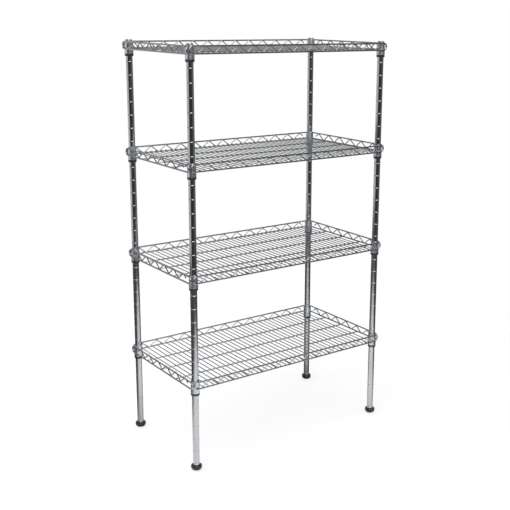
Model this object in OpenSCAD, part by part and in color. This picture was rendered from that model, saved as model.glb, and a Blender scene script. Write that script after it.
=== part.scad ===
// Wire shelving rack: four grooved tube posts, four welded wire shelves held on
// split tapered sleeves, and four levelling feet.
// X is the width, Y the depth (front is -Y), Z is up. The origin is on the floor,
// under the middle of the rack.

/* [Rack] */
// Distance between post centres along the width
post_pitch_x = 870; // [700:10:1200]
// Distance between post centres along the depth
post_pitch_y = 456; // [420:4:560]
// Height of the lowest deck above the floor
lowest_deck = 330; // [290:5:360]
// Post grooves between one shelf and the next
grooves_per_bay = 8; // [5:1:10]

/* [Posts] */
// Outer diameter of a post tube
post_d = 25.4; // [25.4]
// Wall thickness of a post tube
post_wall = 1.2; // [1:0.1:1.6]
// Spacing of the grooves rolled round a post
groove_pitch = 50.8; // [50.8]
// Depth of a groove
groove_depth = 0.5; // [0.3:0.1:0.6]
// Width of a groove at the surface of the post
groove_w = 2.4; // [1.6:0.2:3.2]
// Height of the rounded head of a post cap
cap_head = 4.5; // [3:0.5:8]

/* [Shelf rims] */
// Wire diameter of the rim loops
rim_d = 6; // [5:0.5:7]
// Height between the bottom and top rails of a rim loop
rim_rise = 26; // [24:1:30]
// Wire diameter of the zigzag trusses
truss_d = 4.4; // [3:0.1:5]
// Bend radius of the truss wire, to its centre line
truss_bend = 3; // [2.5:0.5:4]
// Number of full zigzags along a short side
short_zigzags = 5; // [4:1:7]
// Spacing of the zigzags along a short side
short_zigzag_pitch = 72; // [64:1:74]
// How much of its last leg a truss keeps at a cut end
stub_share = 0.55; // [0.4:0.05:0.6]

/* [Deck] */
// Wire diameter of the deck wires
deck_wire_d = 3.8; // [2.5:0.1:4]
// Spacing of the deck wires
deck_wire_pitch = 22.3; // [20:0.1:24]
// Deck wires to one zigzag of a long truss
wires_per_zigzag = 3; // [3]
// Wire diameter of the lengthwise supports
support_d = 5; // [4.5:0.5:5.5]
// Number of lengthwise supports
supports = 3; // [3]

/* [Corner collars and sleeves] */
// Outer radius of a collar at its bottom edge
collar_foot_r = 16.8; // [16.6:0.1:17.4]
// Wall thickness of a collar
collar_wall = 1.8; // [1.5:0.1:2]
// Narrowing of a collar's radius from bottom to top
collar_taper = 0.6; // [0.4:0.1:0.8]
// Height of a collar below the deck level
collar_below = 19; // [15:1:20]
// Height of a collar above the top rail
collar_above = 3; // [2:1:6]
// Height of the sleeve rim that shows under a collar
sleeve_rim_h = 8.5; // [5:0.5:10]
// Gap between the two halves of a sleeve
sleeve_split = 0.8; // [0.5:0.1:1.5]

/* [Levelling feet] */
// Largest outer diameter of a foot pad
pad_d = 42; // [37:1:46]
// Height of a foot pad
pad_h = 18.5; // [17:0.5:20]
// Diameter of the flat underside of a foot pad
pad_sole_d = 24; // [18:1:28]
// Thread diameter of a levelling stud
stud_d = 7.9; // [7.9]
// Length of a stud above its adjusting hex
stud_thread_l = 28; // [26:1:34]

/* [Hidden] */
$fn = 64;
weld = 0.3;            // how far welded wires sink into each other
running_gap = 0.05;    // radial clearance of a fit that turns or clips
part_gap = 0.3;        // clearance between parts that only face each other

SHELVES = ["bottom", "lower", "upper", "top"];

// Heights
bay = grooves_per_bay * groove_pitch;
function deck_level(shelf) = lowest_deck + shelf * bay;
top_deck = deck_level(len(SHELVES) - 1);

// Post, from its lower end to the underside of the cap
post_r = post_d / 2;
post_bore_r = post_r - post_wall;
insert_flange_h = 1;
post_foot = 10;
post_head = top_deck + rim_rise + 5;
groove_offset = 3.4;   // a sleeve's groove above its deck level
grooves_down = floor((lowest_deck + groove_offset - post_foot - groove_w) / groove_pitch);
grooves_up = floor((post_head - groove_w - lowest_deck - groove_offset) / groove_pitch);
first_groove = lowest_deck + groove_offset - grooves_down * groove_pitch;
groove_count = grooves_down + grooves_up + 1;

// Wires
rim_r = rim_d / 2;
truss_r = truss_d / 2;
deck_wire_r = deck_wire_d / 2;
support_r = support_d / 2;

// Collar: the rim loops run tangent to its outside and are welded to it
collar_head = rim_rise + collar_above;
collar_h = collar_below + collar_head;
function collar_r(z) = collar_foot_r - collar_taper * (z + collar_below) / collar_h;
rim_off = collar_r(0) + rim_r - weld;
long_rim_y = post_pitch_y / 2 + rim_off;
short_rim_x = post_pitch_x / 2 + rim_off;
// A loop's U-turn stays clear of the loop round the corner
loop_gap = 1.2;
loop_turn_x = short_rim_x - 2 * rim_r - loop_gap - rim_rise / 2;
loop_turn_y = long_rim_y - 2 * rim_r - loop_gap - rim_rise / 2;

// Truss wire on the inner side of the rails. Its legs rise 3 in 4.
truss_off = rim_r + truss_r - weld;
truss_slope = atan2(3, 4);
truss_touch = truss_bend * [sin(truss_slope), cos(truss_slope)];
function truss_rise(pitch) =
    (pitch / 2 - 2 * truss_touch.x) * tan(truss_slope) + 2 * (truss_bend - truss_touch.y);

// Deck
deck_wires = 2 * floor((post_pitch_x / 2 - collar_foot_r - deck_wire_d) / deck_wire_pitch + 0.5);
deck_first_x = -(deck_wires - 1) / 2 * deck_wire_pitch;
deck_wire_end = 1;     // a deck wire stops this far short of the rail's centre line
long_zigzag_pitch = wires_per_zigzag * deck_wire_pitch;
long_zigzags = floor((deck_wires - 1) / wires_per_zigzag);
support_pitch = post_pitch_y / (supports + 1);
// Deck wires lie across the bottom rails of the long rims, and the supports under them
deck_wire_z = rim_r + deck_wire_r - weld;
support_z = deck_wire_z - deck_wire_r - support_r + weld;

// Sleeve, a snug cone inside the collar
sleeve_top = groove_offset + 16;
function sleeve_r(z) = collar_r(z) - collar_wall - running_gap;
sleeve_rim_r = collar_r(-collar_below) - 0.4;
sleeve_ridge_w = 1.2;

// Levelling foot
pad_r = pad_d / 2;
sole_r = pad_sole_d / 2;
pad_floor = 5;         // floor of the recess the post end stands in
disc_r = 4.5;          // captive disc at the lower end of the stud
disc_z = 1.6;
disc_h = 2.2;
neck_r = 3;
hex_z = 5.3;
hex_h = 3.4;
hex_across = 13;
stud_r = stud_d / 2;
insert_h = 14;

CORNERS = [for (y = [-1, 1], x = [-1, 1]) [x, y]];

// Placing helpers

module at_corner(corner) {
    translate([corner.x * post_pitch_x / 2, corner.y * post_pitch_y / 2, 0]) children();
}

module at_corners() {
    for (corner = CORNERS) at_corner(corner) children();
}

module at_deck(shelf) {
    translate([0, 0, deck_level(shelf)]) children();
}

// The two long sides: the back one as drawn, the front one turned over about X
module both_long_sides() {
    translate([0, long_rim_y, 0]) children();
    translate([0, -long_rim_y, rim_rise]) rotate([180, 0, 0]) children();
}

// The two short sides: drawn along X, turned to run along Y
module both_short_sides() {
    for (turn = [-90, 90]) rotate([0, 0, turn]) translate([0, short_rim_x, 0]) children();
}

// Basic shapes

// A straight round wire between two points of the XZ plane
module wire_xz(from, to, r) {
    run = to - from;
    translate([from.x, 0, from.y])
        rotate([0, atan2(run.x, run.y), 0])
            cylinder(r = r, h = norm(run));
}

// An arc of round wire in the XZ plane round a centre; angles are measured from +X towards +Z
module arc_xz(centre, bend, start, sweep, r) {
    translate([centre.x, 0, centre.y])
        rotate([90, 0, 0])
            rotate([0, 0, start])
                rotate_extrude(angle = sweep)
                    translate([bend, 0]) circle(r = r);
}

// Posts, caps, inserts and feet

function groove_points(z) = [
    [post_r, z - groove_w / 2],
    [post_r - groove_depth, z - groove_w / 6],
    [post_r - groove_depth, z + groove_w / 6],
    [post_r, z + groove_w / 2]
];

module post(corner) {
    chamfer = 0.4;
    grooves = [for (i = [0:groove_count - 1]) each groove_points(first_groove + i * groove_pitch)];
    outline = concat(
        [[post_bore_r, post_foot], [post_r - chamfer, post_foot], [post_r, post_foot + chamfer]],
        grooves,
        [[post_r, post_head - chamfer], [post_r - chamfer, post_head], [post_bore_r, post_head]]
    );
    color("silver") at_corner(corner) rotate_extrude() polygon(outline);
}

module cap(corner) {
    plug_l = 12;
    edge = 2.5;
    crown = 0.8;
    head_r = post_r + 0.2;
    color("gainsboro") at_corner(corner) translate([0, 0, post_head]) {
        // Head with a rounded edge and a slightly crowned top
        rotate_extrude() {
            square([head_r, cap_head - edge - crown]);
            square([head_r - edge, cap_head - crown]);
            translate([head_r - edge, cap_head - edge - crown])
                intersection() {
                    circle(r = edge);
                    square(edge);
                }
            polygon([[0, cap_head - crown], [head_r - edge, cap_head - crown], [0, cap_head]]);
        }
        translate([0, 0, -plug_l]) cylinder(r = post_bore_r - running_gap, h = plug_l);
    }
}

module insert(corner) {
    color("dimgray") at_corner(corner) difference() {
        union() {
            translate([0, 0, post_foot]) cylinder(r = post_bore_r - running_gap, h = insert_h);
            translate([0, 0, post_foot - insert_flange_h]) cylinder(r = post_r - 0.2, h = insert_flange_h);
        }
        translate([0, 0, post_foot - 2 * insert_flange_h])
            cylinder(r = stud_r + running_gap, h = insert_h + 3 * insert_flange_h);
    }
}

module stud(corner) {
    point = 1.2;
    thread_top = hex_z + hex_h + stud_thread_l;
    color("lightgray") at_corner(corner) {
        translate([0, 0, disc_z]) cylinder(r = disc_r, h = disc_h);
        translate([0, 0, disc_z + disc_h]) cylinder(r = neck_r, h = hex_z - disc_z - disc_h);
        translate([0, 0, hex_z]) cylinder(r = hex_across / 2 / cos(30), h = hex_h, $fn = 6);
        translate([0, 0, hex_z + hex_h]) cylinder(r = stud_r, h = stud_thread_l - point);
        translate([0, 0, thread_top - point]) cylinder(r1 = stud_r, r2 = stud_r - point, h = point);
    }
}

module foot(corner) {
    belly_z = 12.5;
    lip = 2;
    recess_r = post_r + 0.8;
    side = 16;
    // Quarter of an ellipse from the edge of the sole up to the belly
    bowl = [for (i = [0:side]) [
        sole_r + (pad_r - sole_r) * sin(90 * i / side),
        belly_z * (1 - cos(90 * i / side))
    ]];
    shoulder = [for (i = [1:side]) [
        pad_r - lip * (1 - cos(90 * i / side)),
        belly_z + (pad_h - belly_z) * sin(90 * i / side)
    ]];
    color("#1c1c1e") at_corner(corner) difference() {
        rotate_extrude() polygon(concat([[0, 0]], bowl, shoulder, [[0, pad_h]]));
        translate([0, 0, pad_floor]) cylinder(r = recess_r, h = pad_h);
        translate([0, 0, disc_z - 0.1]) cylinder(r = disc_r + 0.1, h = disc_h + 0.2);
        translate([0, 0, disc_z]) cylinder(r = neck_r + 0.1, h = pad_floor);
    }
}

// Shelf

// A closed loop of rim wire in the XZ plane: two rails joined by a U-turn at each end
module rim_loop(turn_x) {
    turn_r = rim_rise / 2;
    for (z = [0, rim_rise]) wire_xz([-turn_x, z], [turn_x, z], rim_r);
    arc_xz([turn_x, turn_r], turn_r, -90, 180, rim_r);
    arc_xz([-turn_x, turn_r], turn_r, 90, 180, rim_r);
}

module long_rims(shelf) {
    color("silver") at_deck(shelf) both_long_sides() rim_loop(loop_turn_x);
}

module short_rims(shelf) {
    color("silver") at_deck(shelf) both_short_sides() rim_loop(loop_turn_y);
}

// One zigzag, from an upper bend at x = 0: the bend, a leg down, a lower bend, a leg up
module whole_zigzag(pitch) {
    upper = [0, truss_rise(pitch) - truss_bend];
    lower = [pitch / 2, truss_bend];
    truss_bend_at(upper, 90);
    wire_xz(upper + truss_touch, lower - truss_touch, truss_r);
    truss_bend_at(lower, -90);
    wire_xz(lower + [truss_touch.x, -truss_touch.y],
            upper + [pitch - truss_touch.x, truss_touch.y], truss_r);
}

// A bend of the truss wire round a centre, facing up (90) or down (-90)
module truss_bend_at(centre, facing) {
    arc_xz(centre, truss_bend, facing - truss_slope, 2 * truss_slope, truss_r);
}

// The cut end of a truss: an upper bend at x = 0 and part of a leg going down from it
module truss_stub(pitch) {
    upper = [0, truss_rise(pitch) - truss_bend];
    run = [pitch / 2, 2 * truss_bend - truss_rise(pitch)] - 2 * truss_touch;
    wire_xz(upper + truss_touch, upper + truss_touch + run * stub_share, truss_r);
}

// A row of zigzags that starts at an upper bend and ends, after the last one, in a stub
module zigzags(pitch, count) {
    translate([0, 0, (rim_rise - truss_rise(pitch)) / 2]) {
        for (i = [0:count - 1]) translate([i * pitch, 0, 0]) whole_zigzag(pitch);
        translate([count * pitch, 0, 0]) {
            truss_bend_at([0, truss_rise(pitch) - truss_bend], 90);
            truss_stub(pitch);
        }
    }
}

// The front truss is the same wire as the back one, turned over
module long_trusses(shelf) {
    color("silver") at_deck(shelf) both_long_sides()
        translate([deck_first_x, -truss_off, 0])
            zigzags(long_zigzag_pitch, long_zigzags);
}

module short_trusses(shelf) {
    first_x = -short_zigzags / 2 * short_zigzag_pitch;
    color("silver") at_deck(shelf) both_short_sides()
        translate([first_x, -truss_off, 0]) {
            zigzags(short_zigzag_pitch, short_zigzags);
            translate([0, 0, (rim_rise - truss_rise(short_zigzag_pitch)) / 2])
                mirror([1, 0, 0]) truss_stub(short_zigzag_pitch);
        }
}

module deck_wires(shelf) {
    reach = long_rim_y - deck_wire_end;
    color("silver") at_deck(shelf)
        for (i = [0:deck_wires - 1])
            translate([deck_first_x + i * deck_wire_pitch, reach, deck_wire_z])
                rotate([90, 0, 0])
                    cylinder(r = deck_wire_r, h = 2 * reach);
}

// The middle support stops at a bend of the short trusses, the others at the rim
module support_wires(shelf) {
    color("silver") at_deck(shelf)
        for (i = [1:supports]) {
            y = i * support_pitch - post_pitch_y / 2;
            reach = short_rim_x - (y == 0 ? truss_off + truss_r : rim_r) + weld;
            translate([-reach, y, support_z])
                rotate([0, 90, 0])
                    cylinder(r = support_r, h = 2 * reach);
        }
}

module collars(shelf) {
    color("silver") at_deck(shelf) at_corners()
        rotate_extrude()
            polygon([
                [collar_r(-collar_below) - collar_wall, -collar_below],
                [collar_r(-collar_below), -collar_below],
                [collar_r(collar_head), collar_head],
                [collar_r(collar_head) - collar_wall, collar_head]
            ]);
}

// Half of a split sleeve; the ridge inside clips into a groove of the post
module half_sleeve(start) {
    bore_r = post_r + running_gap;
    seat = -collar_below - part_gap;
    foot_z = seat - sleeve_rim_h;
    bevel = 0.8;
    ridge_r = post_r - groove_depth + running_gap;
    outline = [
        [bore_r, foot_z], [sleeve_rim_r - bevel, foot_z], [sleeve_rim_r, foot_z + bevel],
        [sleeve_rim_r, seat], [sleeve_r(seat), seat], [sleeve_r(sleeve_top), sleeve_top],
        [bore_r, sleeve_top],
        [bore_r, groove_offset + sleeve_ridge_w / 2],
        [ridge_r, groove_offset + sleeve_ridge_w / 4],
        [ridge_r, groove_offset - sleeve_ridge_w / 4],
        [bore_r, groove_offset - sleeve_ridge_w / 2]
    ];
    split = asin(sleeve_split / 2 / post_r);
    rotate([0, 0, start + split])
        rotate_extrude(angle = 180 - 2 * split) polygon(outline);
}

// The halves part on the diagonal that points to the middle of the rack
module sleeves(shelf, facing) {
    color("#202022") at_deck(shelf)
        for (corner = CORNERS)
            at_corner(corner) half_sleeve(atan2(corner.y, corner.x) + facing - 90);
}

post([-1, -1]);  // front_left_post
post([1, -1]);  // front_right_post
post([-1, 1]);  // back_left_post
post([1, 1]);  // back_right_post
cap([-1, -1]);  // front_left_cap
cap([1, -1]);  // front_right_cap
cap([-1, 1]);  // back_left_cap
cap([1, 1]);  // back_right_cap
insert([-1, -1]);  // front_left_insert
insert([1, -1]);  // front_right_insert
insert([-1, 1]);  // back_left_insert
insert([1, 1]);  // back_right_insert
stud([-1, -1]);  // front_left_stud
stud([1, -1]);  // front_right_stud
stud([-1, 1]);  // back_left_stud
stud([1, 1]);  // back_right_stud
foot([-1, -1]);  // front_left_foot
foot([1, -1]);  // front_right_foot
foot([-1, 1]);  // back_left_foot
foot([1, 1]);  // back_right_foot
long_rims(0);  // bottom_long_rims
long_rims(1);  // lower_long_rims
long_rims(2);  // upper_long_rims
long_rims(3);  // top_long_rims
short_rims(0);  // bottom_short_rims
short_rims(1);  // lower_short_rims
short_rims(2);  // upper_short_rims
short_rims(3);  // top_short_rims
long_trusses(0);  // bottom_long_trusses
long_trusses(1);  // lower_long_trusses
long_trusses(2);  // upper_long_trusses
long_trusses(3);  // top_long_trusses
short_trusses(0);  // bottom_short_trusses
short_trusses(1);  // lower_short_trusses
short_trusses(2);  // upper_short_trusses
short_trusses(3);  // top_short_trusses
deck_wires(0);  // bottom_deck_wires
deck_wires(1);  // lower_deck_wires
deck_wires(2);  // upper_deck_wires
deck_wires(3);  // top_deck_wires
support_wires(0);  // bottom_supports
support_wires(1);  // lower_supports
support_wires(2);  // upper_supports
support_wires(3);  // top_supports
collars(0);  // bottom_collars
collars(1);  // lower_collars
collars(2);  // upper_collars
collars(3);  // top_collars
sleeves(0, 0);  // bottom_outer_sleeves
sleeves(1, 0);  // lower_outer_sleeves
sleeves(2, 0);  // upper_outer_sleeves
sleeves(3, 0);  // top_outer_sleeves
sleeves(0, 180);  // bottom_inner_sleeves
sleeves(1, 180);  // lower_inner_sleeves
sleeves(2, 180);  // upper_inner_sleeves
sleeves(3, 180);  // top_inner_sleeves
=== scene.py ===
"""A chrome wire shelving rack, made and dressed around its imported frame.

Lengths are metres in the frame's own axes: X is the width, Y the depth with the front
at -Y, Z is up and the floor lies at Z = 0.
"""

import logging
import math
from dataclasses import dataclass, field
from enum import Enum
from typing import Iterator, Sequence

import bpy
from mathutils import Matrix, Vector


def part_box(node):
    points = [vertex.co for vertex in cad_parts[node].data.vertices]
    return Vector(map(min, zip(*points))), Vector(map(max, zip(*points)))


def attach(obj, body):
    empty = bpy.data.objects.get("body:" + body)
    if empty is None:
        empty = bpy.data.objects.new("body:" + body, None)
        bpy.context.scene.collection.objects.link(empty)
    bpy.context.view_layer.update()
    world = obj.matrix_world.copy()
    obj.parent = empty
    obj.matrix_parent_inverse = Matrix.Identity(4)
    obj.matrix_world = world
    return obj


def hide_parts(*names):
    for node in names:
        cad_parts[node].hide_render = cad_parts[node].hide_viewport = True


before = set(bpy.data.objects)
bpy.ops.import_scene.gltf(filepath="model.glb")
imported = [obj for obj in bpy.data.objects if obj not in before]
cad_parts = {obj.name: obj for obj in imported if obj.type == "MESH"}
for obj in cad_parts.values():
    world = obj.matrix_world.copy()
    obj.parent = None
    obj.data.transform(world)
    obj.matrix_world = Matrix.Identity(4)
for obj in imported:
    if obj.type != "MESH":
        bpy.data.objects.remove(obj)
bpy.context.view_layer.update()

LOG = logging.getLogger("rack")
MM = 0.001
Colour = tuple[float, float, float, float]
Point2 = tuple[float, float]
Section = tuple[Vector, Vector, Vector, float]  # place, direction, outward side and radius of a wire


class Corner(Enum):
    """The rack's corners, as the start of a node's name."""

    FRONT_LEFT = "front_left"
    FRONT_RIGHT = "front_right"
    BACK_LEFT = "back_left"
    BACK_RIGHT = "back_right"


class ShelfName(Enum):
    """The shelves from the floor up, as the start of a node's name."""

    BOTTOM = "bottom"
    LOWER = "lower"
    UPPER = "upper"
    TOP = "top"


class Slot(Enum):
    """The record's material slots."""

    POST = "post_chrome"
    CAP = "cap_chrome"
    WIRE = "wire_chrome"
    COLLAR = "collar_chrome"
    SLEEVE = "sleeve_plastic"
    INSERT = "insert_plastic"
    STUD = "stud_zinc"
    FOOT = "foot_plastic"


class Grain(Enum):
    """Which way the fine marks of a metal finish run, as noise scales per axis."""

    UPRIGHT = (2600.0, 2600.0, 45.0)
    ROUND = (70.0, 70.0, 3200.0)
    EVEN = (1100.0, 1100.0, 1100.0)


# Shader building


class Value:
    """A number socket that takes part in Python arithmetic; each operation adds a Math node."""

    def __init__(self, tree: "Tree", socket: bpy.types.NodeSocket) -> None:
        """Wraps a socket.

        Args:
            tree: The node tree that the socket belongs to.
            socket: The output socket to wrap.
        """
        self.tree = tree
        self.socket = socket

    def _maths(self, operation: str, *terms: "Value | float") -> "Value":
        """Adds a Math node.

        Args:
            operation: The Math node's operation.
            terms: The node's inputs, in order.

        Returns:
            The node's result.
        """
        made = self.tree.node("ShaderNodeMath", {"operation": operation}, dict(enumerate(terms)))
        return Value(self.tree, made.outputs[0])

    def __add__(self, other: "Value | float") -> "Value":
        """The sum."""
        return self._maths("ADD", self, other)

    def __radd__(self, other: float) -> "Value":
        """The sum, with a plain number first."""
        return self._maths("ADD", other, self)

    def __sub__(self, other: "Value | float") -> "Value":
        """The difference."""
        return self._maths("SUBTRACT", self, other)

    def __rsub__(self, other: float) -> "Value":
        """The difference, with a plain number first."""
        return self._maths("SUBTRACT", other, self)

    def __mul__(self, other: "Value | float") -> "Value":
        """The product."""
        return self._maths("MULTIPLY", self, other)

    def __rmul__(self, other: float) -> "Value":
        """The product, with a plain number first."""
        return self._maths("MULTIPLY", other, self)

    def __truediv__(self, other: "Value | float") -> "Value":
        """The quotient."""
        return self._maths("DIVIDE", self, other)

    def __rtruediv__(self, other: float) -> "Value":
        """The quotient, with a plain number first."""
        return self._maths("DIVIDE", other, self)

    def __pow__(self, other: "Value | float") -> "Value":
        """The power."""
        return self._maths("POWER", self, other)

    def __rpow__(self, other: float) -> "Value":
        """The power, with a plain number as the base."""
        return self._maths("POWER", other, self)

    def size(self) -> "Value":
        """The number without its sign."""
        return self._maths("ABSOLUTE", self)

    def above(self, floor: float) -> "Value":
        """The number, or the floor where that is larger."""
        return self._maths("MAXIMUM", self, floor)

    def angle_to(self, other: "Value") -> "Value":
        """The angle whose tangent is this over the other, in radians."""
        return self._maths("ARCTAN2", self, other)

    def between(self, low: float, high: float) -> "Value":
        """A soft step.

        Args:
            low: Where the step starts, with a result of 0.
            high: Where it ends, with a result of 1.

        Returns:
            The step, clamped to 0 to 1.
        """
        made = self.tree.node(
            "ShaderNodeMapRange",
            {"interpolation_type": "SMOOTHSTEP"},
            {"Value": self, "From Min": low, "From Max": high},
        )
        return Value(self.tree, made.outputs["Result"])


class Tree:
    """The node tree of a material or world, built from nothing."""

    def __init__(self, owner: "bpy.types.Material | bpy.types.World") -> None:
        """Empties the owner's tree.

        Args:
            owner: The material or world to build for.
        """
        owner.use_nodes = True
        self.owner = owner
        self.nodes = owner.node_tree.nodes
        self.links = owner.node_tree.links
        self.nodes.clear()

    def node(
        self,
        kind: str,
        settings: "dict[str, object] | None" = None,
        inputs: "dict[str | int, object] | None" = None,
    ) -> bpy.types.Node:
        """Adds a node.

        Args:
            kind: The node's type name.
            settings: The node's own settings, with a ramp's stops under "stops".
            inputs: A value, socket or Value for each input, by name or number.

        Returns:
            The new node.
        """
        made = self.nodes.new(kind)
        for name, value in (settings or {}).items():
            if name == "stops":
                self._set_stops(made.color_ramp, value)
            else:
                setattr(made, name, value)
        for name, value in (inputs or {}).items():
            self._feed(made.inputs[name], value)
        return made

    def _feed(self, socket: bpy.types.NodeSocket, value: object) -> None:
        """Links or sets one input.

        Args:
            socket: The input socket.
            value: A Value, a socket, or a plain number, colour or vector.
        """
        if isinstance(value, Value):
            self.links.new(value.socket, socket)
        elif isinstance(value, bpy.types.NodeSocket):
            self.links.new(value, socket)
        else:
            socket.default_value = value

    @staticmethod
    def _set_stops(ramp: bpy.types.ColorRamp, stops: "Sequence[tuple[float, float]]") -> None:
        """Sets a grey ramp.

        Args:
            ramp: The ramp to fill.
            stops: Pairs of place and brightness, in order.
        """
        while len(ramp.elements) < len(stops):
            ramp.elements.new(1.0)
        for element, (place, grey) in zip(ramp.elements, stops, strict=True):
            element.position = place
            element.color = (grey, grey, grey, 1.0)

    def place(self, scale: "tuple[float, float, float]") -> bpy.types.NodeSocket:
        """The place on the piece in frame coordinates, stretched.

        Args:
            scale: How much each axis is multiplied by.

        Returns:
            A vector socket.
        """
        coordinates = self.node("ShaderNodeTexCoord")
        made = self.node(
            "ShaderNodeVectorMath",
            {"operation": "MULTIPLY"},
            {0: coordinates.outputs["Object"], 1: scale},
        )
        return made.outputs["Vector"]

    def noise(self, scale: "tuple[float, float, float]", detail: float, rough: float) -> Value:
        """Cloudy noise over the piece.

        Args:
            scale: The noise's scale per axis, in cycles per metre.
            detail: The number of finer layers.
            rough: How strong the finer layers are.

        Returns:
            A value that stays round 0.5.
        """
        made = self.node(
            "ShaderNodeTexNoise",
            {"noise_dimensions": "3D"},
            {"Vector": self.place(scale), "Scale": 1.0, "Detail": detail, "Roughness": rough},
        )
        return Value(self, made.outputs["Fac"])

    def blend(
        self, share: Value, first: "Colour | bpy.types.NodeSocket", second: Colour
    ) -> bpy.types.NodeSocket:
        """Mixes two colours.

        Args:
            share: How much of the second colour shows.
            first: The colour at a share of 0.
            second: The colour at a share of 1.

        Returns:
            A colour socket.
        """
        made = self.node("ShaderNodeMix", {"data_type": "RGBA"}, {0: share, 6: first, 7: second})
        return made.outputs[2]

    def mix(
        self, share: "Value | float", first: bpy.types.NodeSocket, second: bpy.types.NodeSocket
    ) -> bpy.types.NodeSocket:
        """Mixes two shaders.

        Args:
            share: How much of the second shader shows.
            first: The shader at a share of 0.
            second: The shader at a share of 1.

        Returns:
            A shader socket.
        """
        return self.node("ShaderNodeMixShader", None, {0: share, 1: first, 2: second}).outputs[0]

    def towards(self, direction: bpy.types.NodeSocket, axis: Vector) -> Value:
        """How far a direction points along an axis.

        Args:
            direction: A vector socket of unit length.
            axis: The axis, of unit length.

        Returns:
            A value from -1 to 1.
        """
        made = self.node("ShaderNodeVectorMath", {"operation": "DOT_PRODUCT"}, {0: direction, 1: axis})
        return Value(self, made.outputs["Value"])

    def clear(self) -> bpy.types.NodeSocket:
        """A shader that lets everything through."""
        return self.node("ShaderNodeBsdfTransparent").outputs[0]

    def bump(self, height: Value, strength: float, depth: float) -> bpy.types.NodeSocket:
        """Turns a height into a normal.

        Args:
            height: The height, about 0 to 1.
            strength: The bump's strength.
            depth: The real height of a step of 1, in metres.

        Returns:
            A normal socket.
        """
        made = self.node(
            "ShaderNodeBump", None, {"Height": height, "Strength": strength, "Distance": depth}
        )
        return made.outputs["Normal"]

    def output(self, kind: str, surface: bpy.types.NodeSocket) -> None:
        """Ends the tree.

        Args:
            kind: The output node's type name.
            surface: The shader to show.
        """
        self.node(kind, None, {"Surface": surface})


class Finish:
    """A procedural finish; the material is made once, when it is first asked for."""

    name: str

    def material(self) -> bpy.types.Material:
        """The finish's material, made at the first call."""
        found = bpy.data.materials.get(self.name)
        if found is not None:
            return found
        made = bpy.data.materials.new(self.name)
        tree = Tree(made)
        tree.output("ShaderNodeOutputMaterial", self.shade(tree))
        return made

    def shade(self, tree: Tree) -> bpy.types.NodeSocket:
        """Builds the shader.

        Args:
            tree: The material's tree.

        Returns:
            The shader's output socket.
        """
        raise NotImplementedError


@dataclass(frozen=True)
class Plate(Finish):
    """Bright plate on steel: fine marks from drawing or polishing, faint haze and ripple."""

    name: str
    tint: Colour
    dull: Colour
    polish: float
    haze: float
    grain: Grain
    ripple: float = 0.10
    marks: float = 0.05

    def shade(self, tree: Tree) -> bpy.types.NodeSocket:
        """Builds the shader.

        Args:
            tree: The material's tree.

        Returns:
            The shader's output socket.
        """
        cloud = tree.noise((9.0, 9.0, 5.0), 5.0, 0.6).between(0.42, 0.72)
        spots = tree.noise((420.0, 420.0, 420.0), 3.0, 0.55).between(0.60, 0.78)
        lines = tree.noise(self.grain.value, 2.0, 0.5)
        wave = tree.noise((26.0, 26.0, 18.0), 2.0, 0.4)
        worn = cloud * 0.6 + spots * 0.4
        shader = tree.node(
            "ShaderNodeBsdfPrincipled",
            None,
            {
                "Base Color": tree.blend(worn, self.tint, self.dull),
                "Metallic": 1.0,
                "Roughness": self.polish + self.haze * worn + (lines - 0.5) * 0.06,
                "Normal": tree.bump(wave * self.ripple + lines * self.marks, 0.35, 0.4 * MM),
            },
        )
        return shader.outputs["BSDF"]


@dataclass(frozen=True)
class Moulded(Finish):
    """Moulded plastic: a fine spark-eroded grain, rubbed smooth and lighter on its edges."""

    name: str
    body: Colour
    rubbed: Colour
    gloss: float
    grain: float = 2300.0

    def shade(self, tree: Tree) -> bpy.types.NodeSocket:
        """Builds the shader.

        Args:
            tree: The material's tree.

        Returns:
            The shader's output socket.
        """
        geometry = tree.node("ShaderNodeNewGeometry")
        edge = Value(tree, geometry.outputs["Pointiness"]).between(0.52, 0.60)
        cloud = tree.noise((60.0, 60.0, 60.0), 4.0, 0.6)
        pits = tree.noise((self.grain,) * 3, 2.0, 0.5)
        shader = tree.node(
            "ShaderNodeBsdfPrincipled",
            None,
            {
                "Base Color": tree.blend(edge * 0.5 + cloud * 0.25, self.body, self.rubbed),
                "Roughness": self.gloss + (cloud - 0.5) * 0.18 + (pits - 0.5) * 0.1,
                "Normal": tree.bump(pits, 0.30, 0.08 * MM),
                "Specular IOR Level": 0.5,
            },
        )
        return shader.outputs["BSDF"]


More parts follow.
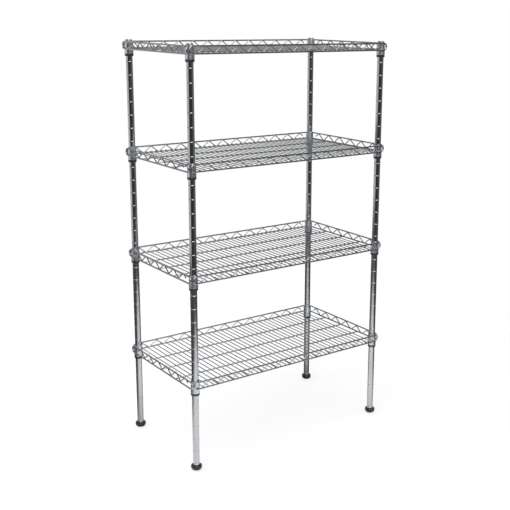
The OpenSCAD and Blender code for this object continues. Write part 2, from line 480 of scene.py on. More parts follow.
@dataclass(frozen=True)
class Backdrop(Finish):
    """The plain pale floor, thinned out away from the rack; in reflections a painted reflection, dark but for
    one bright glowing patch.
    """

    name: str
    pale: Colour
    footprint: Point2
    inner: float
    outer: float
    # Painted reflection: where its glowing patch lies, its painted bright and dark greys, and where it fades.
    patch: "tuple[float, float, float]"
    painted_reflection_bright: Colour
    painted_reflection_dark: Colour
    patch_inner: float
    patch_outer: float
    reach: float
    even: float = 0.65

    def shade(self, tree: Tree) -> bpy.types.NodeSocket:
        """Builds the shader.

        Args:
            tree: The material's tree.

        Returns:
            The shader's output socket.
        """
        place = tree.place((1.0, 1.0, 1.0))
        split = tree.node("ShaderNodeSeparateXYZ", None, {"Vector": place})
        beyond = [
            (Value(tree, split.outputs[axis]).size() - half).above(0.0)
            for axis, half in zip(("X", "Y"), self.footprint, strict=True)
        ]
        away = (beyond[0] ** 2 + beyond[1] ** 2) ** 0.5
        floor = tree.node(
            "ShaderNodeBsdfPrincipled",
            None,
            {"Base Color": self.pale, "Roughness": 0.9, "Specular IOR Level": 0.1},
        )
        # Painted reflection: a glow that is bright round the patch and fades to painted shade away from it.
        centre = tree.node("ShaderNodeVectorMath", {"operation": "DISTANCE"}, {0: place, 1: self.patch})
        off = Value(tree, centre.outputs["Value"]).between(self.patch_inner, self.patch_outer)
        painted_reflection_colour = tree.blend(off, self.painted_reflection_bright, self.painted_reflection_dark)
        glow = tree.node("ShaderNodeEmission", None, {"Color": painted_reflection_colour})
        lit = tree.node("ShaderNodeEmission", None, {"Color": grey(1.0)})
        both = tree.mix(self.even, floor.outputs[0], lit.outputs[0])
        seen = tree.mix(1.0 - away.between(self.inner, self.outer), tree.clear(), both)
        # Glossy rays see the painted reflection glow instead of the lit pale floor.
        mirrored = tree.mix(1.0 - away.between(self.reach - 0.2, self.reach), tree.clear(), glow.outputs[0])
        path = tree.node("ShaderNodeLightPath")
        return tree.mix(Value(tree, path.outputs["Is Glossy Ray"]), seen, mirrored)


def grey(level: float) -> Colour:
    """A neutral grey."""
    return (level, level, level, 1.0)


def plated(bright: float) -> Colour:
    """The cool grey of bright plate, at a given brightness."""
    return (bright * 0.965, bright, bright * 1.045, 1.0)


POST_PLATE = Plate("post_plate", plated(0.66), plated(0.52), 0.13, 0.10, Grain.UPRIGHT)
CAP_PLATE = Plate("cap_plate", plated(0.80), plated(0.62), 0.25, 0.10, Grain.ROUND)
WIRE_PLATE = Plate("wire_plate", plated(0.58), plated(0.44), 0.13, 0.12, Grain.EVEN)
COLLAR_PLATE = Plate("collar_plate", plated(0.80), plated(0.62), 0.30, 0.12, Grain.ROUND)
WELD_PLATE = Plate("weld_plate", plated(0.48), plated(0.32), 0.30, 0.16, Grain.EVEN, 0.5)
STUD_ZINC = Plate("stud_zinc_plate", (0.60, 0.60, 0.57, 1), (0.42, 0.42, 0.40, 1), 0.34, 0.14, Grain.ROUND)
SLEEVE_BLACK = Moulded("sleeve_black", (0.018, 0.018, 0.019, 1), (0.07, 0.07, 0.072, 1), 0.38)
FOOT_BLACK = Moulded("foot_black", (0.014, 0.014, 0.015, 1), (0.06, 0.06, 0.062, 1), 0.34, 1700.0)
INSERT_GREY = Moulded("insert_grey", grey(0.06), grey(0.12), 0.5)
# Pale floor to the eye; in reflections a painted bright patch and a painted dark rest.
FLOOR_WITH_PAINTED_REFLECTION = Backdrop(
    name="floor_pale_painted_reflection", pale=grey(0.95), footprint=(0.435, 0.228), inner=1.0, outer=1.6,
    patch=(-0.28, -0.78, 0.0), painted_reflection_bright=grey(0.87), painted_reflection_dark=grey(0.06),
    patch_inner=0.65, patch_outer=1.35, reach=2.9,
)


# Mesh building


def oval(
    centre: Point2, radii: Point2, start: float, sweep: float, steps: int
) -> "list[Point2]":
    """Points along part of an oval, ends included.

    Args:
        centre: The oval's centre.
        radii: How far it reaches across and up.
        start: The first point's angle, in degrees.
        sweep: The angle from the first point to the last, in degrees.
        steps: The number of steps.

    Returns:
        The points.
    """
    angles = (math.radians(start + sweep * i / steps) for i in range(steps + 1))
    return [(centre[0] + radii[0] * math.cos(a), centre[1] + radii[1] * math.sin(a)) for a in angles]


def arc(centre: Point2, radius: float, start: float, sweep: float, steps: int) -> "list[Point2]":
    """Points along part of a circle, as for an oval."""
    return oval(centre, (radius, radius), start, sweep, steps)


def about(axis: Vector, radius: float, turn: float, height: float) -> Vector:
    """A point at a radius, an angle in radians and a height about an upright axis."""
    return axis + Vector((radius * math.cos(turn), radius * math.sin(turn), height))


def lump(x: float, y: float, z: float) -> "tuple[Vector, Vector, Vector]":
    """Half-axes along X, Y and Z, from their lengths in millimetres."""
    return Vector((x * MM, 0, 0)), Vector((0, y * MM, 0)), Vector((0, 0, z * MM))


def held(line: "Sequence[Point2]", hold: float = 0.35 * MM, closed: bool = False) -> "list[Point2]":
    """Adds a point near each end of every long straight step, so that shading stays flat along it.

    Args:
        line: The points of an outline or centre line.
        hold: How far the new points are from the ends.
        closed: Whether the last point joins the first.

    Returns:
        The points with the new ones between them.
    """
    steady: "list[Point2]" = []
    for i, (u, v) in enumerate(line):
        steady.append((u, v))
        if i == len(line) - 1 and not closed:
            break
        end = line[(i + 1) % len(line)]
        length = math.hypot(end[0] - u, end[1] - v)
        if length > 4 * hold:
            for share in (hold / length, 1 - hold / length):
                steady.append((u + (end[0] - u) * share, v + (end[1] - v) * share))
    return steady


@dataclass
class Form:
    """The points and faces of one piece, gathered part by part."""

    points: "list[Vector]" = field(default_factory=list)
    faces: "list[tuple[int, ...]]" = field(default_factory=list)

    def skin(
        self, rings: "Sequence[Sequence[Vector]]", round_closed: bool = True, along_closed: bool = False
    ) -> None:
        """Joins rings of points with four-sided faces and closes the ends.

        Args:
            rings: Rings with the same number of points each.
            round_closed: Whether a ring's last point joins its first.
            along_closed: Whether the last ring joins the first.
        """
        base, count, size = len(self.points), len(rings), len(rings[0])
        for ring in rings:
            self.points.extend(ring)
        for i in range(count if along_closed else count - 1):
            a, b = base + i * size, base + (i + 1) % count * size
            for j in range(size if round_closed else size - 1):
                k = (j + 1) % size
                self.faces.append((a + j, a + k, b + k, b + j))
        if not along_closed:
            last = base + (count - 1) * size
            self.faces.append(tuple(range(base + size - 1, base - 1, -1)))
            self.faces.append(tuple(range(last, last + size)))

    def lathe(
        self,
        centre: Vector,
        outline: "Sequence[Point2]",
        steps: int,
        start: float = 0.0,
        sweep: float = 360.0,
        hollow: bool = False,
    ) -> None:
        """Turns an outline about an upright axis.

        Args:
            centre: A point on the axis, from which heights count.
            outline: Pairs of radius and height. A closed loop, anticlockwise, if hollow or in part.
            steps: The number of steps round.
            start: The angle of the first section, in degrees.
            sweep: How far round the outline goes, in degrees.
            hollow: Whether the outline is a closed loop.
        """
        whole = sweep >= 360.0
        turns = [math.radians(start + sweep * i / steps) for i in range(steps if whole else steps + 1)]
        if not whole or hollow:
            self.skin([[about(centre, r, t, z) for r, z in outline] for t in turns], True, whole)
        else:
            self.skin([[about(centre, r, t, z) for t in turns] for r, z in outline])

    def tube(
        self, path: "Sequence[Vector]", side: Vector, radius: float, sides: int, closed: bool = False
    ) -> None:
        """Sweeps a round wire along a flat path, with slightly rounded cut ends.

        Args:
            path: The points of the centre line, all in one plane.
            side: The plane's normal.
            radius: The wire's radius.
            sides: The number of faces round the wire.
            closed: Whether the path is a loop.
        """
        count = len(path)
        sections: "list[Section]" = []
        for i, point in enumerate(path):
            before = path[i - 1] if closed or i else path[0]
            after = path[(i + 1) % count] if closed or i < count - 1 else path[-1]
            along = (after - before).normalized()
            sections.append((point, along, side.cross(along), radius))
        if not closed:
            sections = self._with_cut_ends(sections)
        turns = [2 * math.pi * j / sides for j in range(sides)]
        rings = [
            [point + (out * math.cos(t) + side * math.sin(t)) * r for t in turns]
            for point, _, out, r in sections
        ]
        self.skin(rings, True, closed)

    @staticmethod
    def _with_cut_ends(sections: "list[Section]") -> "list[Section]":
        """Rounds each end of a cut wire a little.

        Args:
            sections: The wire's sections.

        Returns:
            The sections with smaller ones at both ends.
        """
        (head, along, out, radius), (tail, ahead, off, _) = sections[0], sections[-1]
        edge = radius * 0.3
        steps = ((0.0, 0.7), (0.3, 0.91), (1.0, 1.0))
        start = [(head + along * edge * inset, along, out, radius * share) for inset, share in steps]
        end = [(tail - ahead * edge * inset, ahead, off, radius * share) for inset, share in steps]
        return start + sections[1:-1] + end[::-1]

    def nugget(self, centre: Vector, axes: "tuple[Vector, Vector, Vector]") -> None:
        """Adds a small smooth lump of weld metal.

        Args:
            centre: The lump's centre.
            axes: Its three half-axes.
        """
        turns = [2 * math.pi * j / 10 for j in range(10)]
        rings = []
        for height in (-0.92, -0.55, 0.0, 0.55, 0.92):
            width = math.sqrt(1.0 - height * height)
            level = centre + axes[2] * height
            rings.append([level + (axes[0] * math.cos(t) + axes[1] * math.sin(t)) * width for t in turns])
        self.skin(rings)

    def piece(self, name: str, finish: Finish, sharp: float = 40.0) -> bpy.types.Object:
        """Makes the object.

        Args:
            name: The piece's name.
            finish: What it is finished in.
            sharp: Edges that turn by more than this many degrees stay sharp.

        Returns:
            The new object.
        """
        mesh = bpy.data.meshes.new(name)
        mesh.from_pydata(self.points, [], self.faces)
        mesh.validate()
        mesh.materials.append(finish.material())
        mesh.shade_smooth()
        mesh.set_sharp_from_angle(angle=math.radians(sharp))
        made = bpy.data.objects.new(name, mesh)
        bpy.context.scene.collection.objects.link(made)
        return made


def settle(piece: bpy.types.Object, body: str, slot: Slot, *nodes: str) -> None:
    """Joins a finished piece to the frame and reports it.

    Args:
        piece: The piece.
        body: The body that it rides on.
        slot: The record's slot for its finish; not used.
        nodes: The CAD nodes that it stands for.
    """
    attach(piece, body)
    if nodes:
        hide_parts(*nodes)
    LOG.info("%s: %d faces on %s", piece.name, len(piece.data.polygons), body)


def middle(node: str) -> Vector:
    """The middle of a CAD node's box."""
    low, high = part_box(node)
    return (low + high) / 2


# Posts, caps and feet


@dataclass
class Post:
    """A chrome tube with a groove rolled round it at every step, and the cap in its head."""

    corner: Corner
    groove_pitch: float = 50.8 * MM
    groove_depth: float = 0.55 * MM
    groove_width: float = 3.0 * MM
    groove_above_deck: float = 3.4 * MM
    wall: float = 1.2 * MM
    edge: float = 0.4 * MM
    steps: int = 72

    @property
    def node(self) -> str:
        """The post's CAD node."""
        return f"{self.corner.value}_post"

    def grooves(self, foot: float, head: float) -> Iterator[float]:
        """The heights of the grooves.

        Args:
            foot: The height of the post's lower end.
            head: The height of its upper end.

        Yields:
            One height for each groove, from the floor up.
        """
        height = Shelf(ShelfName.BOTTOM).deck + self.groove_above_deck
        height -= self.groove_pitch * math.floor((height - foot - self.groove_width) / self.groove_pitch)
        while height < head - self.groove_width:
            yield height
            height += self.groove_pitch

    def outline(self) -> "list[Point2]":
        """The section of the tube wall, as a closed loop of radius and height."""
        low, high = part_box(self.node)
        radius = (high.x - low.x) / 2
        bore = radius - self.wall
        steps = 8
        loop = [(bore, low.z), (radius - self.edge, low.z), (radius, low.z + self.edge)]
        for height in self.grooves(low.z, high.z):
            for i in range(steps + 1):
                share = i / steps
                dip = self.groove_depth * (0.5 - 0.5 * math.cos(2 * math.pi * share))
                loop.append((radius - dip, height + self.groove_width * (share - 0.5)))
        return loop + [(radius, high.z - self.edge), (radius - self.edge, high.z), (bore, high.z)]

    def build(self) -> None:
        """Makes the tube and its cap."""
        axis = middle(self.node)
        axis.z = 0.0
        tube = Form()
        tube.lathe(axis, held(self.outline(), closed=True), self.steps, hollow=True)
        settle(tube.piece(f"{self.node}_tube", POST_PLATE), "posts", Slot.POST, self.node)
        self._build_cap(axis)

    def _build_cap(self, axis: Vector) -> None:
        """Makes the cap: a plug with a rounded head that closes the tube.

        Args:
            axis: The foot of the post's axis.
        """
        node = f"{self.corner.value}_cap"
        low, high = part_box(node)
        radius = (high.x - low.x) / 2
        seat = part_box(self.node)[1].z
        edge = 2.5 * MM
        crown = 0.8 * MM
        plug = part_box(self.node)[1].x - axis.x - self.wall - 0.1 * MM
        shoulder = high.z - crown - edge
        outline = [
            (plug - 1.0 * MM, low.z), (plug, low.z + 1.0 * MM), (plug, seat),
            (radius - 0.3 * MM, seat), (radius, seat + 0.3 * MM),
        ]
        outline += arc((radius - edge, shoulder), edge, 0, 80, 10)
        ring, top = outline[-1]
        outline += [
            (ring * (1 - i / 8), top + (high.z - top) * math.sin(math.pi / 2 * i / 8)) for i in range(1, 8)
        ]
        cap = Form()
        cap.lathe(axis, held(outline), self.steps)
        settle(cap.piece(f"{node}_head", CAP_PLATE, 60.0), "posts", Slot.CAP, node)


@dataclass
class LevellingFoot:
    """A black bowl with a screw held captive in it, and the bush the screw turns in."""

    corner: Corner
    pitch: float = 1.25 * MM
    thread_depth: float = 0.55 * MM
    belly: float = 12.5 * MM
    sole: float = 12.0 * MM
    lip: float = 2.0 * MM
    recess: float = 13.5 * MM
    recess_floor: float = 5.0 * MM
    steps: int = 64

    def build(self) -> None:
        """Makes the bowl and the screw, and finishes the bush."""
        axis = middle(f"{self.corner.value}_foot")
        axis.z = 0.0
        self._build_bowl(axis)
        self._build_screw(axis)
        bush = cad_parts[f"{self.corner.value}_insert"]
        bush.data.materials.clear()
        bush.data.materials.append(INSERT_GREY.material())

    def _build_bowl(self, axis: Vector) -> None:
        """Makes the bowl.

        Args:
            axis: The foot of the post's axis.
        """
        node = f"{self.corner.value}_foot"
        low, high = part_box(node)
        radius, top = (high.x - low.x) / 2, high.z
        steps = 12
        round_edge = 0.8 * MM
        outline = [(self.sole - 1.2 * MM, 0.0)]
        outline += oval((self.sole, self.belly), (radius - self.sole, self.belly), -90, 90, steps)[1:]
        outline += oval((radius - self.lip, self.belly), (self.lip, top - self.belly), 0, 90, steps)[1:-1]
        outline += [
            (radius - self.lip - round_edge, top),
            (self.recess + round_edge, top),
            (self.recess + 0.2 * MM, top - 0.3 * MM),
            (self.recess, top - round_edge),
            (self.recess, self.recess_floor + 0.5 * MM),
            (self.recess - 0.5 * MM, self.recess_floor),
            (3.1 * MM, self.recess_floor),
        ]
        bowl = Form()
        bowl.lathe(axis, held(outline), self.steps)
        settle(bowl.piece(f"{node}_bowl", FOOT_BLACK), node, Slot.FOOT, node)

    def _build_screw(self, axis: Vector) -> None:
        """Makes the screw: captive disc, neck, hexagon and thread.

        Args:
            axis: The foot of the post's axis.
        """
        node = f"{self.corner.value}_stud"
        low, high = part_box(node)
        disc, neck, hexagon, thread = 4.5 * MM, 3.0 * MM, (high.x - low.x) / 2, 3.95 * MM
        hex_low, hex_high = 5.3 * MM, 8.7 * MM
        screw = Form()
        screw.lathe(
            axis,
            [
                (disc - 0.3 * MM, low.z), (disc, low.z + 0.3 * MM), (disc, 3.6 * MM),
                (disc - 0.2 * MM, 3.8 * MM), (neck, 3.8 * MM), (neck, hex_low),
            ],
            self.steps,
        )
        corners = [math.pi / 3 * i for i in range(6)]
        bevel = 0.5 * MM
        screw.skin([
            [about(axis, r, t, z) for t in corners]
            for r, z in (
                (hexagon - bevel, hex_low), (hexagon, hex_low + bevel / 2),
                (hexagon, hex_high - bevel / 2), (hexagon - bevel, hex_high),
            )
        ])
        screw.skin(self._thread_rings(axis, thread, hex_high, high.z))
        settle(screw.piece(f"{node}_screw", STUD_ZINC), node, Slot.STUD, node)

    def _thread_rings(self, axis: Vector, radius: float, low: float, high: float) -> "list[list[Vector]]":
        """Rings of points whose radius follows a right-hand thread.

        Args:
            axis: The foot of the screw's axis.
            radius: The thread's outer radius.
            low: Where the thread starts.
            high: Where the screw ends, with a chamfer below it.

        Returns:
            The rings, from the bottom up.
        """
        per_turn = 6
        count = round((high - low) / self.pitch * per_turn)
        turns = [2 * math.pi * j / 36 for j in range(36)]
        rings = []
        for i in range(count + 1):
            z = low + (high - low) * i / count
            point = min(1.0 * MM, max(0.0, z - high + 1.0 * MM))
            ring = []
            for t in turns:
                phase = (z / self.pitch - t / (2 * math.pi)) * 2 * math.pi
                r = radius - self.thread_depth * (0.5 - 0.5 * math.cos(phase)) - point * 0.8
                ring.append(about(axis, r, t, z))
            rings.append(ring)
        return rings


# Shelves


@dataclass
class Side:
    """An upright plane along one side of a shelf, with its own outward direction."""

    middle: Vector
    along: Vector
    inward: Vector
    rise: float
    turned: bool = False

    def point(self, u: float, v: float, depth: float = 0.0) -> Vector:
        """A point of the plane.

        Args:
            u: The distance along the side from its middle.
            v: The height above the bottom rail, measured down from the top rail if turned.
            depth: The distance inwards.

        Returns:
            The point in the frame's axes.
        """
        height = self.rise - v if self.turned else v
        return self.middle + self.along * u + self.inward * depth + Vector((0, 0, height))


@dataclass
class Shelf:
    """One welded shelf: rim loops, trusses, deck wires, supports, collars and welds."""

    name: ShelfName
    rim_r: float = 3.0 * MM
    truss_r: float = 2.2 * MM
    support_r: float = 2.5 * MM
    rise: float = 26.0 * MM
    truss_bend: float = 3.0 * MM
    truss_inset: float = 4.9 * MM
    deck_pitch: float = 22.3 * MM
    deck_wires: int = 38
    short_pitch: float = 72.0 * MM
    short_zigzags: int = 5
    stub_share: float = 0.55

    def __post_init__(self) -> None:
        """Reads the shelf's places from the frame."""
        long_low, long_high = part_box(self.node("long_rims"))
        short_low, short_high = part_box(self.node("short_rims"))
        self.deck = long_low.z + self.rim_r
        self.long_y = long_high.y - self.rim_r
        self.short_x = short_high.x - self.rim_r
        self.long_turn = long_high.x - self.rim_r - self.rise / 2
        self.short_turn = short_high.y - self.rim_r - self.rise / 2
        deck_low, deck_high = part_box(self.node("deck_wires"))
        self.deck_r = (deck_high.z - deck_low.z) / 2
        self.body = f"{self.name.value}_shelf"
        self.welds = Form()

    def node(self, part: str) -> str:
        """The name of one of the shelf's CAD nodes."""
        return f"{self.name.value}_{part}"

    @property
    def long_sides(self) -> "tuple[Side, Side]":
        """The back and front sides; the front truss is the back one turned over."""
        along = Vector((1, 0, 0))
        return (
            Side(Vector((0, self.long_y, self.deck)), along, Vector((0, -1, 0)), self.rise),
            Side(Vector((0, -self.long_y, self.deck)), along, Vector((0, 1, 0)), self.rise, True),
        )

    @property
    def short_sides(self) -> "tuple[Side, Side]":
        """The right and left sides."""
        along = Vector((0, 1, 0))
        return (
            Side(Vector((self.short_x, 0, self.deck)), along, Vector((-1, 0, 0)), self.rise),
            Side(Vector((-self.short_x, 0, self.deck)), along, Vector((1, 0, 0)), self.rise),
        )

    def build(self) -> None:
        """Makes every piece of the shelf."""
        self._build_rims("long_rims", self.long_sides, self.long_turn)
        self._build_rims("short_rims", self.short_sides, self.short_turn)
        first = -(self.deck_wires - 1) / 2 * self.deck_pitch
        zigzags = (self.deck_wires - 1) // 3
        self._build_trusses("long_trusses", self.long_sides, 3 * self.deck_pitch, first, zigzags, False)
        start = -self.short_zigzags / 2 * self.short_pitch
        self._build_trusses(
            "short_trusses", self.short_sides, self.short_pitch, start, self.short_zigzags, True
        )
        self._build_supports()
        self._build_deck(first)
        self._build_collars()
        settle(self.welds.piece(self.node("welds"), WELD_PLATE), self.body, Slot.WIRE)

    def _settle_wire(self, wires: Form, part: str) -> None:
        """Turns wires into the piece that stands for one of the shelf's CAD nodes.

        Args:
            wires: The finished wires.
            part: Which CAD node they stand for.
        """
        node = self.node(part)
        settle(wires.piece(f"{node}_wire", WIRE_PLATE), self.body, Slot.WIRE, node)

    def _build_rims(self, part: str, sides: "tuple[Side, Side]", turn: float) -> None:
        """Makes two rim loops.

        Args:
            part: Which CAD node the loops stand for.
            sides: The planes that they lie in.
            turn: How far from the middle their U-turns start.
        """
        radius = self.rise / 2
        loops = Form()
        steps = 24
        bottom = [(-turn + 2 * turn * i / steps, 0.0) for i in range(1, steps)]
        outline = bottom + arc((turn, radius), radius, -90, 180, 20)
        outline += [(-u, self.rise) for u, _ in bottom] + arc((-turn, radius), radius, 90, 180, 20)
        for side in sides:
            route = [side.point(u, v) for u, v in held(outline, 1.0 * MM, True)]
            loops.tube(route, side.inward, self.rim_r, 20, True)
        self._settle_wire(loops, part)

    def _zigzag(self, pitch: float, first: float, count: int, both_stubs: bool) -> "list[Point2]":
        """The centre line of a truss wire, whose legs rise 3 in 4.

        Args:
            pitch: The length of one zigzag.
            first: Where the first upper bend is.
            count: The number of whole zigzags.
            both_stubs: Whether a cut leg goes down before the first bend too.

        Returns:
            The points from left to right.
        """
        slope = math.degrees(math.atan2(3, 4))
        touch = (self.truss_bend * 0.6, self.truss_bend * 0.8)
        rise = (pitch / 2 - 2 * touch[0]) * 0.75 + 2 * (self.truss_bend - touch[1])
        low = (self.rise - rise) / 2 + self.truss_bend
        high = low + rise - 2 * self.truss_bend
        leg = (pitch / 2 - 2 * touch[0], high - low + 2 * touch[1])
        path: "list[Point2]" = []
        for i in range(count + 1):
            u = first + i * pitch
            lead_in = slope if i > 0 or both_stubs else 0
            path += arc((u, high), self.truss_bend, 90 + lead_in, -slope - lead_in, 8)
            if i < count:
                path += arc((u + pitch / 2, low), self.truss_bend, -90 - slope, 2 * slope, 8)
        end = (path[-1][0] + leg[0] * self.stub_share, path[-1][1] - leg[1] * self.stub_share)
        path.append(end)
        if both_stubs:
            path.insert(0, (path[0][0] - leg[0] * self.stub_share, path[0][1] - leg[1] * self.stub_share))
        return path

    def _build_trusses(
        self,
        part: str,
        sides: "tuple[Side, Side]",
        pitch: float,
        first: float,
        count: int,
        both_stubs: bool,
    ) -> None:
        """Makes two truss wires and welds their bends to the rails.

        Args:
            part: Which CAD node the trusses stand for.
            sides: The planes of the rim loops.
            pitch: The length of one zigzag.
            first: Where the first upper bend is.
            count: The number of whole zigzags.
            both_stubs: Whether both ends have a cut leg.
        """
        path = held(self._zigzag(pitch, first, count, both_stubs), 0.8 * MM)
        trusses = Form()
        for side in sides:
            trusses.tube([side.point(u, v, self.truss_inset) for u, v in path], side.inward, self.truss_r, 14)
            for i in range(2 * count + 1):
                upper = i % 2 == 0
                self.welds.nugget(
                    side.point(first + i * pitch / 2, self.rise if upper else 0.0, self.rim_r - 0.2 * MM),
                    (side.along * 3.2 * MM, Vector((0, 0, 1.7 * MM)), side.inward * 1.1 * MM),
                )
        self._settle_wire(trusses, part)

    def _build_supports(self) -> None:
        """Makes the lengthwise supports, from the places of their CAD node."""
        low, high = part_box(self.node("supports"))
        z = (low.z + high.z) / 2
        outer = (high.y - low.y) / 2 - self.support_r
        supports = Form()
        for y in (-outer, 0.0, outer):
            reach = self.short_x - (self.truss_inset + self.truss_r if y == 0.0 else self.rim_r) + 0.2 * MM
            path = [Vector((reach * (i / 6 - 1), y, z)) for i in range(13)]
            supports.tube(path, Vector((0, 0, 1)), self.support_r, 16)
            for x in (-reach, reach):
                self.welds.nugget(Vector((x, y, z)), lump(1.6, 3.4, 2.8))
        self._settle_wire(supports, "supports")

    def _build_deck(self, first: float) -> None:
        """Makes the deck wires and welds them to the supports and the long rims.

        Args:
            first: Where the first wire is.
        """
        low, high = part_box(self.node("deck_wires"))
        z = (low.z + high.z) / 2
        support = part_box(self.node("supports"))
        outer = (support[1].y - support[0].y) / 2 - self.support_r
        deck = Form()
        for i in range(self.deck_wires):
            x = first + i * self.deck_pitch
            path = [Vector((x, low.y + (high.y - low.y) * j / 8, z)) for j in range(9)]
            deck.tube(path, Vector((0, 0, 1)), self.deck_r, 12)
            for y in (-outer, 0.0, outer):
                self.welds.nugget(Vector((x, y, z - self.deck_r + 0.1 * MM)), lump(2.0, 2.2, 0.8))
            for y in (low.y + 0.8 * MM, high.y - 0.8 * MM):
                self.welds.nugget(Vector((x, y, z - self.deck_r + 0.2 * MM)), lump(2.1, 1.7, 1.1))
        self._settle_wire(deck, "deck_wires")

    def _build_collars(self) -> None:
        """Makes the four tapered collars and welds the rims to them."""
        name = self.node("collars")
        low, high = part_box(name)
        foot_r, taper, wall = 16.8 * MM, 0.6 * MM, 1.8 * MM
        height = high.z - low.z
        edge = 0.6 * MM
        collars = Form()
        for x in (low.x + foot_r, high.x - foot_r):
            for y in (low.y + foot_r, high.y - foot_r):
                axis = Vector((x, y, low.z))
                head_r = foot_r - taper
                outline = [(foot_r - wall + edge / 2, 0.0)]
                outline += arc((foot_r - edge, edge), edge, -90, 90, 4)
                outline += arc((head_r - edge, height - edge), edge, 0, 90, 4)
                outline += arc((head_r - wall + edge, height - edge), edge, 90, 90, 4)
                outline += [(foot_r - wall, edge)]
                collars.lathe(axis, held(outline, closed=True), 64, hollow=True)
                self._weld_corner(axis, foot_r)
        settle(collars.piece(f"{name}_pressed", COLLAR_PLATE), self.body, Slot.COLLAR, name)

    def _weld_corner(self, axis: Vector, radius: float) -> None:
        """Adds the welds between a collar and the rails that touch it.

        Args:
            axis: The collar's axis.
            radius: The collar's outer radius.
        """
        out_x, out_y = math.copysign(radius, axis.x), math.copysign(radius, axis.y)
        for z in (self.deck, self.deck + self.rise):
            self.welds.nugget(Vector((axis.x, axis.y + out_y, z)), lump(5.0, 1.5, 1.9))
            self.welds.nugget(Vector((axis.x + out_x, axis.y, z)), lump(1.5, 5.0, 1.9))


@dataclass
class Sleeves:
    """The split tapered sleeves that hold one shelf; their rims show under the collars."""

    shelf: ShelfName
    bore: float = 12.75 * MM
    rim_r: float = 16.4 * MM
    rim_h: float = 8.5 * MM
    seat_r: float = 14.95 * MM
    head_r: float = 14.48 * MM
    split: float = 0.8 * MM
    ridge: float = 0.5 * MM

    def build(self) -> None:
        """Makes the outer and inner halves."""
        for part, facing in (("outer_sleeves", 0.0), ("inner_sleeves", 180.0)):
            name = f"{self.shelf.value}_{part}"
            halves = Form()
            for corner in Corner:
                axis = middle(f"{corner.value}_post")
                spread = math.copysign(45.0, axis.y) if axis.x > 0 else math.copysign(135.0, axis.y)
                self._half(halves, Vector((axis.x, axis.y, 0)), spread + facing - 90.0, name)
            settle(halves.piece(f"{name}_moulded", SLEEVE_BLACK), "posts", Slot.SLEEVE, name)

    def _half(self, form: Form, axis: Vector, start: float, node: str) -> None:
        """Adds one half sleeve.

        Args:
            form: The form to add to.
            axis: The foot of the post's axis.
            start: The angle of its first cut face, in degrees.
            node: The CAD node that gives its height.
        """
        low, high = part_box(node)
        bevel = 0.8 * MM
        seat = low.z + self.rim_h
        groove = Shelf(self.shelf).deck + 3.4 * MM
        band = 1.2 * MM
        outline = [
            (self.bore, low.z), (self.rim_r - bevel, low.z),
            (self.rim_r - bevel * 0.3, low.z + bevel * 0.3),
            (self.rim_r, low.z + bevel), (self.rim_r, seat - 0.4 * MM), (self.rim_r - 0.4 * MM, seat),
            (self.seat_r, seat), (self.head_r + 0.05 * MM, high.z - 0.8 * MM),
            (self.head_r - 0.6 * MM, high.z), (self.bore, high.z), (self.bore, groove + band / 2),
            (self.bore - self.ridge, groove + band / 4), (self.bore - self.ridge, groove - band / 4),
            (self.bore, groove - band / 2),
        ]
        gap = math.degrees(math.asin(self.split / 2 / self.bore))
        form.lathe(axis, held(outline, closed=True), 36, start + gap, 180.0 - 2 * gap)


# Studio


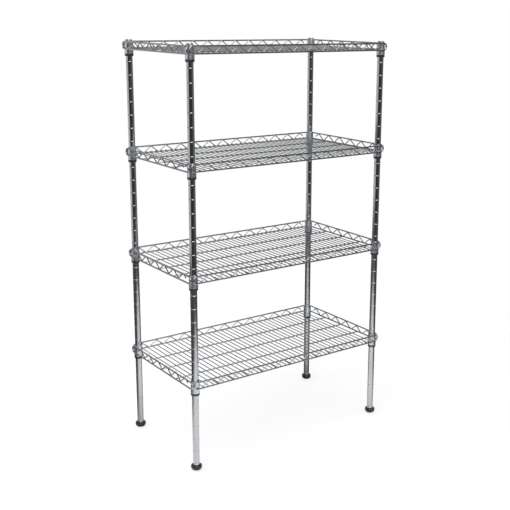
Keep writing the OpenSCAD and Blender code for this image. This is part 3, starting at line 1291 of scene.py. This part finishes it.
@dataclass
class Studio:
    """The pale floor, the soft light and the camera."""

    camera_place: "tuple[float, float, float]" = (-2.011, -2.951, 1.689)
    heading: float = 37.37
    pitch: float = 13.16
    roll: float = 0.72
    lens: float = 63.7
    shift: "tuple[float, float]" = (-0.0984, -0.061)
    floor_radius: float = 3.6
    softbox: Vector = field(default_factory=lambda: Vector((-0.15, -0.75, 0.64)))
    softbox_light: float = 2.4
    far_glow: Vector = field(default_factory=lambda: Vector((0.35, 0.80, 0.48)))
    far_light: float = 0.60
    sky_light: float = 0.14
    soft_light: float = 0.8
    ring: "tuple[Point2, ...]" = (
        (0.0, 0.30), (0.10, 0.26), (0.20, 0.14), (0.31, 0.13), (0.35, 0.03),
        (0.60, 0.03), (0.64, 0.60), (0.80, 0.66), (0.92, 0.45), (1.0, 0.30),
    )

    @property
    def forward(self) -> Vector:
        """The level direction that the camera faces."""
        turn = math.radians(self.heading)
        return Vector((math.sin(turn), math.cos(turn), 0.0))

    @property
    def left(self) -> Vector:
        """The level direction to the camera's left."""
        return Vector((-self.forward.y, self.forward.x, 0.0))

    def build(self) -> None:
        """Makes the whole studio."""
        self._build_camera()
        self._build_floor()
        self._build_world()
        self._build_lights()
        settings = bpy.context.scene.view_settings
        settings.view_transform = "Standard"
        settings.look = "None"

    def _build_camera(self) -> None:
        """Makes the camera."""
        data = bpy.data.cameras.new("camera")
        data.lens, data.sensor_width = self.lens, 36.0
        data.shift_x, data.shift_y = self.shift
        data.clip_end = 100.0
        camera = bpy.data.objects.new("camera", data)
        bpy.context.scene.collection.objects.link(camera)
        pitch = math.radians(self.pitch)
        ahead = self.forward * math.cos(pitch) - Vector((0, 0, math.sin(pitch)))
        right = -self.left
        up = right.cross(ahead)
        roll = math.radians(self.roll)
        level, upright = right, up
        right = level * math.cos(roll) + upright * math.sin(roll)
        up = upright * math.cos(roll) - level * math.sin(roll)
        turn = Matrix((right, up, -ahead)).transposed().to_4x4()
        camera.matrix_world = Matrix.Translation(self.camera_place) @ turn
        bpy.context.scene.camera = camera

    def _build_floor(self) -> None:
        """Makes the round floor."""
        floor = Form()
        floor.skin([
            [about(Vector(), radius, math.pi / 32 * i, 0.0) for i in range(64)]
            for radius in (0.02, self.floor_radius / 2, self.floor_radius)
        ])
        floor.faces.pop()
        piece = floor.piece("floor", FLOOR_WITH_PAINTED_REFLECTION)
        piece.location.z = -0.3 * MM

    def _build_world(self) -> None:
        """Makes the surroundings: pale to the eye, and a studio with a dark front in reflections."""
        world = bpy.data.worlds.new("studio")
        bpy.context.scene.world = world
        tree = Tree(world)
        direction = tree.node("ShaderNodeTexCoord").outputs["Generated"]

        aside, behind = tree.towards(direction, self.left), tree.towards(direction, -self.forward)
        turn = aside.angle_to(behind) / (2 * math.pi) + 0.5
        ring = tree.node("ShaderNodeValToRGB", {"stops": self.ring}, {"Fac": turn})
        above = tree.towards(direction, Vector((0, 0, 1))).between(0.03, 0.24)
        sky = tree.blend(above, ring.outputs["Color"], grey(self.sky_light))
        box = tree.towards(direction, self.softbox.normalized()).between(0.78, 0.93)
        lit = tree.blend(box, sky, grey(self.softbox_light))
        far = tree.towards(direction, self.far_glow.normalized()).between(0.78, 0.95)
        glossy = tree.blend(far, lit, grey(self.far_light))
        path = tree.node("ShaderNodeLightPath")
        soft, seen, mirrored = (
            tree.node("ShaderNodeBackground", None, {"Color": colour, "Strength": strength}).outputs[0]
            for colour, strength in ((grey(1.0), self.soft_light), (grey(1.0), 1.0), (glossy, 1.0))
        )
        unseen = tree.mix(Value(tree, path.outputs["Is Glossy Ray"]), soft, mirrored)
        surface = tree.mix(Value(tree, path.outputs["Is Camera Ray"]), unseen, seen)
        tree.output("ShaderNodeOutputWorld", surface)

    def _build_lights(self) -> None:
        """Makes the soft lights."""
        target = Vector((0, 0, 0.8))
        key = target - self.forward * 2.2 + self.left * 0.9 + Vector((0, 0, 2.6))
        fill = target + self.left * 3.2 + Vector((0, 0, 0.6))
        top = target + Vector((0, 0, 3.2))
        for name, place, size, power in (
            ("key", key, 2.0, 40.0),
            ("fill", fill, 2.4, 30.0),
            ("top", top, 3.0, 40.0),
        ):
            data = bpy.data.lights.new(name, "AREA")
            data.shape, data.size, data.energy = "DISK", size, power
            light = bpy.data.objects.new(name, data)
            light.visible_glossy = False
            aim = (place - target).to_track_quat("Z", "Y").to_matrix().to_4x4()
            light.matrix_world = Matrix.Translation(place) @ aim
            bpy.context.scene.collection.objects.link(light)


def main() -> None:
    """Builds the rack and its studio."""
    logging.basicConfig(level=logging.INFO, format="%(message)s")
    Studio().build()
    for corner in Corner:
        Post(corner).build()
        LevellingFoot(corner).build()
    for name in ShelfName:
        Sleeves(name).build()
        Shelf(name).build()


if __name__ == "__main__":
    main()
